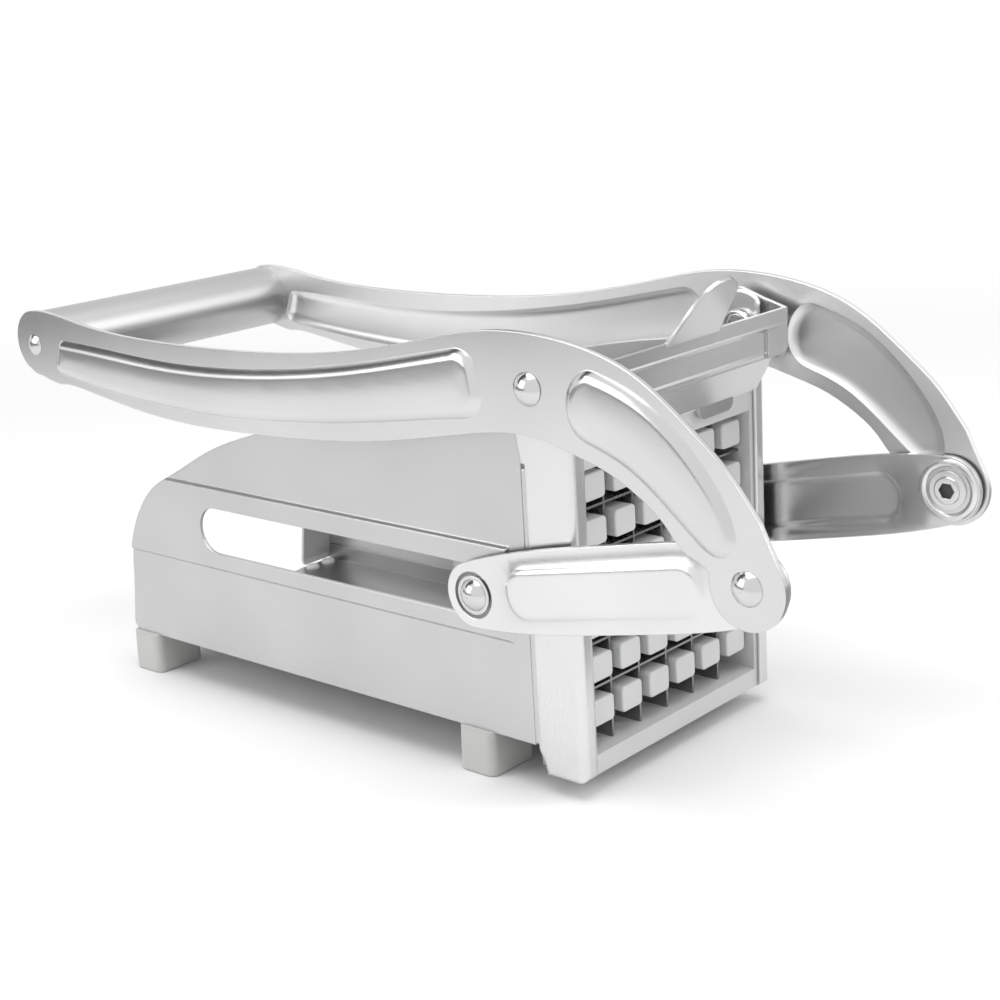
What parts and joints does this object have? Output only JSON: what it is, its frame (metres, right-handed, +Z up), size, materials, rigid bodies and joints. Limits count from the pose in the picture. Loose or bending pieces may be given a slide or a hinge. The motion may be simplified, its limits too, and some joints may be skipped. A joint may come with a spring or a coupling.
{
  "type": "french fry cutter",
  "caption": "Lever press that pushes a potato through a square blade grid, with a toothed pusher, side links and a grip across two pressed-steel arms.",
  "frame": {"origin": "on the table, under the middle of the whole press", "axes": "+X towards the side where the fries come out, +Y to the far side, +Z up"},
  "size_m": [0.2698, 0.0978, 0.1238],
  "materials": {
    "satin_steel": "satin stainless steel sheet",
    "bright_steel": "bright steel fasteners",
    "blade_steel": "ground stainless steel strip",
    "light_plastic": "light grey moulded plastic",
    "slide_plastic": "white nylon",
    "foot_rubber": "grey rubber"
  },
  "bodies": {
    "body": {"floor_pan": "satin_steel", "near_side_wall": "satin_steel", "far_side_wall": "satin_steel", "near_front_post": "satin_steel", "far_front_post": "satin_steel", "near_rear_foot": "foot_rubber", "far_rear_foot": "foot_rubber", "near_front_foot": "foot_rubber", "far_front_foot": "foot_rubber", "blade_frame": "light_plastic", "upright_blades": "blade_steel", "level_blades": "blade_steel", "near_pivot_bolt": "bright_steel", "far_pivot_bolt": "bright_steel", "near_pivot_nut": "bright_steel", "far_pivot_nut": "bright_steel", "near_pivot_spacer": "bright_steel", "far_pivot_spacer": "bright_steel"},
    "lever": {"near_lever_arm": "satin_steel", "far_lever_arm": "satin_steel", "grip_tube": "satin_steel", "near_grip_plug": "slide_plastic", "far_grip_plug": "slide_plastic", "near_grip_rivet": "bright_steel", "far_grip_rivet": "bright_steel", "near_front_pin": "bright_steel", "far_front_pin": "bright_steel", "near_front_nut": "bright_steel", "far_front_nut": "bright_steel", "near_front_washer": "bright_steel", "far_front_washer": "bright_steel"},
    "links": {"near_link_arm": "satin_steel", "far_link_arm": "satin_steel", "near_link_rivet": "bright_steel", "far_link_rivet": "bright_steel", "near_link_washer": "bright_steel", "far_link_washer": "bright_steel"},
    "pusher": {"pusher_block": "light_plastic", "pusher_carriage": "satin_steel", "pusher_screws": "bright_steel", "pusher_axle": "bright_steel", "near_slot_roller": "slide_plastic", "far_slot_roller": "slide_plastic"},
    "latch": {"blade_latch": "satin_steel", "near_latch_spring": "bright_steel", "far_latch_spring": "bright_steel"}
  },
  "joints": [
    {"name": "lever_lift", "type": "hinge", "parent": "body", "child": "lever", "pos_m": [0.06595, 0, 0.1039], "axis": [0, 1, 0], "range_deg": [0, 92]},
    {"name": "link_turn", "type": "hinge", "parent": "lever", "child": "links", "pos_m": [0.12465, 0, 0.0663], "axis": [0, 1, 0], "range_deg": [-78.67, 0]},
    {"name": "pusher_slide", "type": "slide", "parent": "body", "child": "pusher", "axis": [-1, 0, 0], "range_m": [0, 0.10018]},
    {"name": "latch_tilt", "type": "hinge", "parent": "body", "child": "latch", "pos_m": [0.06595, 0, 0.1039], "axis": [0, 1, 0], "range_deg": [-35, 0], "stiffness_Nm_per_rad": 0.02}
  ],
  "couplings": [
    {"joint": "link_turn", "follows": "lever_lift", "ratio": -0.85181},
    {"joint": "pusher_slide", "follows": "lever_lift", "m_per_rad": 0.062266}
  ]
}
